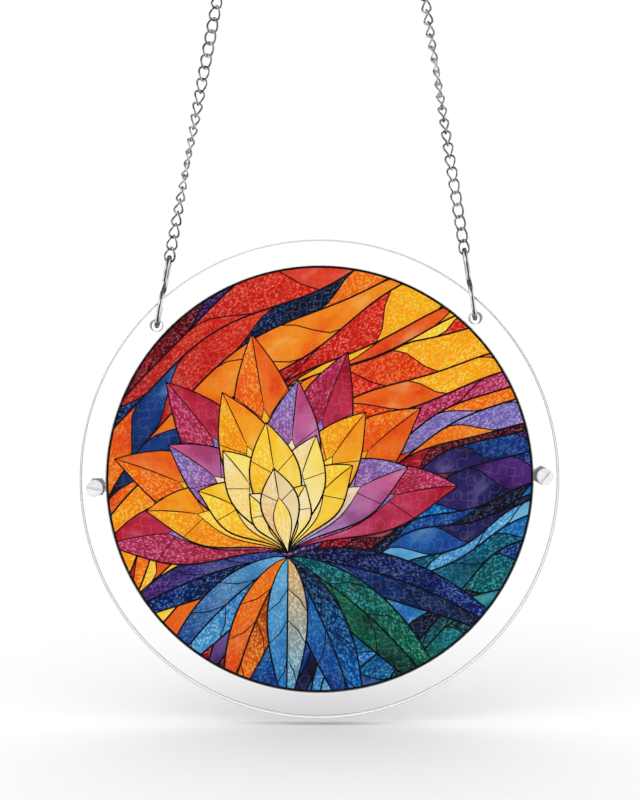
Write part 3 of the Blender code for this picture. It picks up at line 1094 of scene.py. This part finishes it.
def write_looks(mesh, drawing, looks, radius, tint_of):
    """Stores tint, grain, flow, lead and cut, which the printed material reads."""
    mesh.attributes.new("tint", "FLOAT_COLOR", "CORNER")
    for name in ("grain", "flow", "lead", "cut"):
        mesh.attributes.new(name, "FLOAT", "FACE")
    tints = mesh.attributes["tint"]
    numbers = mesh.attributes
    spans = {}
    for face, (top, cut) in zip(mesh.polygons, looks):
        numbers["cut"].data[face.index].value = float(cut)
        numbers["lead"].data[face.index].value = float(top is None)
        if top is None:
            continue
        path, (first, second), grain, flow = drawing.panes[top]
        numbers["grain"].data[face.index].value = grain
        numbers["flow"].data[face.index].value = flow
        heading = Vector((math.cos(flow), math.sin(flow)))
        if top not in spans:
            reach = [point.dot(heading) for point in path if point.length < 1.05]
            reach = reach or [point.dot(heading) for point in path]
            spans[top] = min(reach), max(reach)
        low, high = spans[top]
        for loop in face.loop_indices:
            place = mesh.vertices[mesh.loops[loop].vertex_index].co
            share = (Vector((place.x, place.z)) / radius).dot(heading)
            share = min(1.0, max(0.0, (share - low) / max(high - low, 1e-6)))
            tint = tint_of[first].lerp(tint_of[second], share)
            tints.data[loop].color = (*tint, 1.0)


class SUNCATCHER_OT_picture(bpy.types.Operator):
    """Make the printed picture panel"""

    bl_idname = "suncatcher.picture"
    bl_label = "Picture"

    def execute(self, context):
        settings = context.scene.suncatcher
        picture = settings.picture
        radius = half_width("picture_panel")
        unit = 1 / radius
        draws = random.Random(picture.seed)
        drawing = Drawing()
        drawing.outline(circle_path(1, picture.circle_segments), Drawing.DISC)
        inside = circle_path(1 - picture.border * unit, picture.circle_segments)
        drawing.outline(inside, Drawing.INSIDE)
        draw_ribbons(drawing, picture, draws, unit)
        draw_leaves(drawing, picture, unit)
        draw_flower(drawing, picture, unit)
        draw_cuts(drawing, picture, draws, unit)
        low, high = stack_depths("picture_panel")
        tint_of = {name: Vector(linear(getattr(settings.tints, name))[:3]) for name in TINTS}
        mesh = picture_mesh(drawing, radius, low, high, tint_of)
        panel = bpy.data.objects.new("printed_picture", mesh)
        context.scene.collection.objects.link(panel)
        mesh.materials.append(material_named("printed_glass", printed_glass, picture))
        settle(panel, "printed_picture", "picture_panel", disc_place())
        return {"FINISHED"}


# Hooks, chains and ring


def ring_seat(wire, side):
    """Where a chain's end link bears on the inner bottom of the ring."""
    inner = half_width("hanging_ring") - 2 * wire.ring_wire
    turn = side * wire.seat_angle
    return inner * Vector((math.sin(turn), 0, -1 - math.cos(turn)))


def hanging_line(settings, side):
    """The hanging hole's centre, the seat on the ring and the direction between them."""
    across, up = fixing_place(settings.clear, side, settings.clear.hole_angle)
    hole = disc_place() @ Vector((across, 0, up))
    seat = ring_seat(settings.wire, side)
    return hole, seat, (seat - hole).normalized()


def hook_bend(wire):
    """Radius of each of an S-hook's bends, to the middle of its wire."""
    return (wire.hook_length - 2 * wire.hook_wire) / 4


def hook_bearing(wire):
    """Distance between the two places where an S-hook bears."""
    return wire.hook_length - 4 * wire.hook_wire


def hook_seat_height(settings):
    """How far above a hole's centre the hook's inner bottom sits."""
    wire = settings.wire
    inner_bend = hook_bend(wire) - wire.hook_wire
    half = (depth_range("back_disc")[1] - depth_range("front_disc")[0]) / 2
    rise = inner_bend - math.sqrt(inner_bend**2 - half**2)
    return settings.clear.hole_radius - rise - wire.contact_gap


def hook(settings, side_name, side, twist):
    """An S-hook of round wire, its upper tip in front and its lower tip behind."""
    wire = settings.wire
    hole, _, along = hanging_line(settings, side)
    bend = hook_bend(wire)
    depth = Matrix.Rotation(twist, 3, along) @ FRONT
    middle = hole + along * (hook_seat_height(settings) + hook_bearing(wire) / 2)
    path = []
    for i in range(HOOK_STEPS + 1):
        turn = wire.upper_tip + (-math.pi - wire.upper_tip) * i / HOOK_STEPS
        path.append(depth * math.sin(turn) + along * (1 + math.cos(turn)))
    for i in range(1, HOOK_STEPS + 1):
        turn = -math.pi + (wire.lower_tip + math.pi) * i / HOOK_STEPS
        path.append(-depth * math.sin(turn) - along * (1 + math.cos(turn)))
    curve = bpy.data.curves.new("hook", "CURVE")
    curve.dimensions = "3D"
    curve.bevel_depth = wire.hook_wire
    curve.bevel_resolution = 4
    curve.use_fill_caps = True
    spline = curve.splines.new("POLY")
    spline.points.add(len(path) - 1)
    for target, offset in zip(spline.points, path):
        target.co = (*(middle + offset * bend), 1)
    piece = bpy.data.objects.new("hook", curve)
    bpy.context.scene.collection.objects.link(piece)
    only(piece)
    bpy.ops.object.convert(target="MESH")
    piece = bpy.context.object
    apply_modifier(
        piece,
        "BEVEL",
        width=wire.hook_wire * 0.35,
        segments=2,
        limit_method="ANGLE",
        angle_limit=math.radians(60),
    )
    piece.data.materials.clear()
    piece.data.materials.append(steel("bright_wire"))
    shade(piece, 50)
    node = "s_hook_" + side_name
    return settle(piece, "round_" + node, node)


class SUNCATCHER_OT_hooks(bpy.types.Operator):
    """Make the two S-hooks"""

    bl_idname = "suncatcher.hooks"
    bl_label = "S-hooks"

    def execute(self, context):
        settings = context.scene.suncatcher
        hook(settings, "left", -1, settings.wire.left_twist)
        hook(settings, "right", 1, settings.wire.right_twist)
        return {"FINISHED"}


def curb_link(wire, pitch):
    """One twisted oval link about the origin: across is X, along is Y, the front is Z."""
    tube_radius = 0.2
    bpy.ops.object.select_all(action="DESELECT")
    bpy.ops.mesh.primitive_torus_add(
        major_segments=14, minor_segments=6, major_radius=1, minor_radius=tube_radius
    )
    link = bpy.context.object
    half_width_of_line = (wire.link_width - wire.link_wire) / 2
    half_length = (pitch + wire.link_wire) / 2
    scale = wire.link_wire / 2 / tube_radius
    for vertex in link.data.vertices:
        turn = math.atan2(vertex.co.y, vertex.co.x)
        out = (vertex.co.to_2d().length - 1) * scale
        line = Vector(
            (
                half_width_of_line * math.cos(turn),
                half_length * math.sin(turn),
                wire.link_twist * math.sin(2 * turn),
            )
        )
        outward = Vector(
            (half_length * math.cos(turn), half_width_of_line * math.sin(turn), 0)
        ).normalized()
        vertex.co = line + outward * out + Vector((0, 0, vertex.co.z * scale))
    return link


def chain(settings, side_name, side, count, first_turn, last_turn):
    """A row of twisted links from the hook to the ring, turning slowly about its line."""
    wire = settings.wire
    hole, seat, along = hanging_line(settings, side)
    rise = hook_seat_height(settings) + hook_bearing(wire) - wire.contact_gap
    start = hole + along * rise
    end = seat + along * wire.contact_gap
    pitch = (end - start).length / count
    across = along.cross(FRONT).normalized()
    axes = Matrix((across, along, FRONT)).transposed().to_4x4()
    pattern = curb_link(wire, pitch)
    links = []
    for i in range(count):
        turn = first_turn + (last_turn - first_turn) * i / (count - 1)
        middle = Matrix.Translation(start + along * pitch * (i + 0.5))
        link = bpy.data.objects.new("link", pattern.data.copy())
        link.data.transform(middle @ Matrix.Rotation(turn, 4, along) @ axes)
        bpy.context.scene.collection.objects.link(link)
        links.append(link)
    bpy.data.objects.remove(pattern, do_unlink=True)
    only(*links)
    bpy.ops.object.join()
    piece = bpy.context.object
    piece.data.materials.append(steel("chain_wire"))
    shade(piece, 60)
    node = "chain_" + side_name
    return settle(piece, "curb_" + node, node)


class SUNCATCHER_OT_chains(bpy.types.Operator):
    """Make the two curb chains"""

    bl_idname = "suncatcher.chains"
    bl_label = "Chains"

    def execute(self, context):
        settings = context.scene.suncatcher
        wire = settings.wire
        chain(settings, "left", -1, wire.left_links, wire.left_first, wire.left_last)
        chain(settings, "right", 1, wire.right_links, wire.right_first, wire.right_last)
        return {"FINISHED"}


class SUNCATCHER_OT_ring(bpy.types.Operator):
    """Make the hanging ring"""

    bl_idname = "suncatcher.ring"
    bl_label = "Hanging Ring"

    def execute(self, context):
        wire = context.scene.suncatcher.wire
        bpy.ops.object.select_all(action="DESELECT")
        bpy.ops.mesh.primitive_torus_add(
            major_segments=72,
            minor_segments=16,
            major_radius=half_width("hanging_ring") - wire.ring_wire,
            minor_radius=wire.ring_wire,
            location=box_centre("hanging_ring"),
            rotation=(math.pi / 2, 0, 0),
        )
        ring = bpy.context.object
        ring.data.materials.append(steel("bright_wire"))
        shade(ring, 60)
        settle(ring, "round_hanging_ring", "hanging_ring")
        return {"FINISHED"}


# Stage


def make_floor(stage):
    low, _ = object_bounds()
    middle = box_centre("picture_panel")
    bpy.ops.object.select_all(action="DESELECT")
    bpy.ops.mesh.primitive_circle_add(
        vertices=96,
        radius=stage.floor_radius,
        fill_type="NGON",
        location=(middle.x, middle.y, low.z - stage.floor_drop),
    )
    floor = bpy.context.object
    floor.name = "floor"
    floor.data.materials.append(material_named("pale_floor", pale_floor, stage))
    floor.visible_glossy = False
    floor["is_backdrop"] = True


def make_surround(stage):
    """A white surround, which reflections alone see as bright at the two sides only.

    Light that passes through a clear piece is no reflection, so it stays white.
    """
    world = bpy.data.worlds.new("studio")
    bpy.context.scene.world = world
    paint = Paint(world)
    background = paint.tree.nodes["Background"]
    where = paint.node("ShaderNodeTexCoord", output="Generated")
    across = paint.node("ShaderNodeSeparateXYZ", {}, {"Vector": where}, "X")
    gloss = paint.smooth(paint.maths("ABSOLUTE", across), 0.40, 0.85, 0.05, 1.10)
    glossy = paint.node("ShaderNodeLightPath", output="Is Glossy Ray")
    through = paint.node("ShaderNodeLightPath", output="Is Transmission Ray")
    reflected = glossy * (1 - through)
    strength = reflected * gloss + (1 - reflected) * stage.sky_strength
    paint.put(background.inputs["Color"], (1, 1, 1, 1))
    paint.put(background.inputs["Strength"], strength)


def make_lamp(stage):
    """One large soft lamp, high in front and to the left."""
    lamp = bpy.data.lights.new("key", "AREA")
    lamp.shape = "DISK"
    lamp.size = LAMP_SIZE
    lamp.energy = stage.key_power
    holder = bpy.data.objects.new("key", lamp)
    bpy.context.scene.collection.objects.link(holder)
    target = box_centre("picture_panel")
    holder.location = target + LAMP_OFFSET
    holder.rotation_euler = (target - holder.location).to_track_quat("-Z", "Y").to_euler()


def make_camera(stage):
    data = bpy.data.cameras.new("camera")
    data.sensor_width = 36
    data.lens = stage.focal_length
    camera = bpy.data.objects.new("camera", data)
    bpy.context.scene.collection.objects.link(camera)
    yaw = Matrix.Rotation(stage.camera_yaw, 4, "Z")
    tilt = Matrix.Rotation(math.pi / 2 + stage.camera_pitch, 4, "X")
    roll = Matrix.Rotation(stage.camera_roll, 4, "Z")
    place = box_centre("picture_panel") + Vector(stage.camera_offset)
    camera.matrix_world = Matrix.Translation(place) @ yaw @ tilt @ roll
    bpy.context.scene.camera = camera


class SUNCATCHER_OT_stage(bpy.types.Operator):
    """Make the floor, the light and the camera"""

    bl_idname = "suncatcher.stage"
    bl_label = "Stage"

    def execute(self, context):
        stage = context.scene.suncatcher.stage
        make_camera(stage)
        make_floor(stage)
        make_surround(stage)
        make_lamp(stage)
        context.scene.view_settings.view_transform = "Standard"
        return {"FINISHED"}


class SUNCATCHER_PT_steps(bpy.types.Panel):
    """Lists the steps and the settings"""

    bl_idname = "SUNCATCHER_PT_steps"
    bl_label = "Suncatcher"
    bl_space_type = "VIEW_3D"
    bl_region_type = "UI"
    bl_category = "Suncatcher"

    def draw(self, context):
        for step in STEPS:
            self.layout.operator(step.bl_idname)
        settings = context.scene.suncatcher
        groups = (
            settings.clear,
            settings.wire,
            settings.picture,
            settings.tints,
            settings.stage,
        )
        for group in groups:
            box = self.layout.box()
            for name in group.__annotations__:
                box.prop(group, name)


STEPS = (
    SUNCATCHER_OT_stage,
    SUNCATCHER_OT_discs,
    SUNCATCHER_OT_fixings,
    SUNCATCHER_OT_picture,
    SUNCATCHER_OT_hooks,
    SUNCATCHER_OT_chains,
    SUNCATCHER_OT_ring,
)
GROUPS = (
    ClearPartSettings,
    WireSettings,
    PictureSettings,
    GlassTints,
    StageSettings,
    SuncatcherSettings,
)


def register():
    for item in (*GROUPS, *STEPS, SUNCATCHER_PT_steps):
        bpy.utils.register_class(item)
    bpy.types.Scene.suncatcher = bpy.props.PointerProperty(type=SuncatcherSettings)


def unregister():
    del bpy.types.Scene.suncatcher
    for item in reversed((*GROUPS, *STEPS, SUNCATCHER_PT_steps)):
        bpy.utils.unregister_class(item)


def main():
    register()
    bpy.ops.suncatcher.stage()
    bpy.ops.suncatcher.discs()
    bpy.ops.suncatcher.fixings()
    bpy.ops.suncatcher.picture()
    bpy.ops.suncatcher.hooks()
    bpy.ops.suncatcher.chains()
    bpy.ops.suncatcher.ring()


if __name__ == "__main__":
    main()
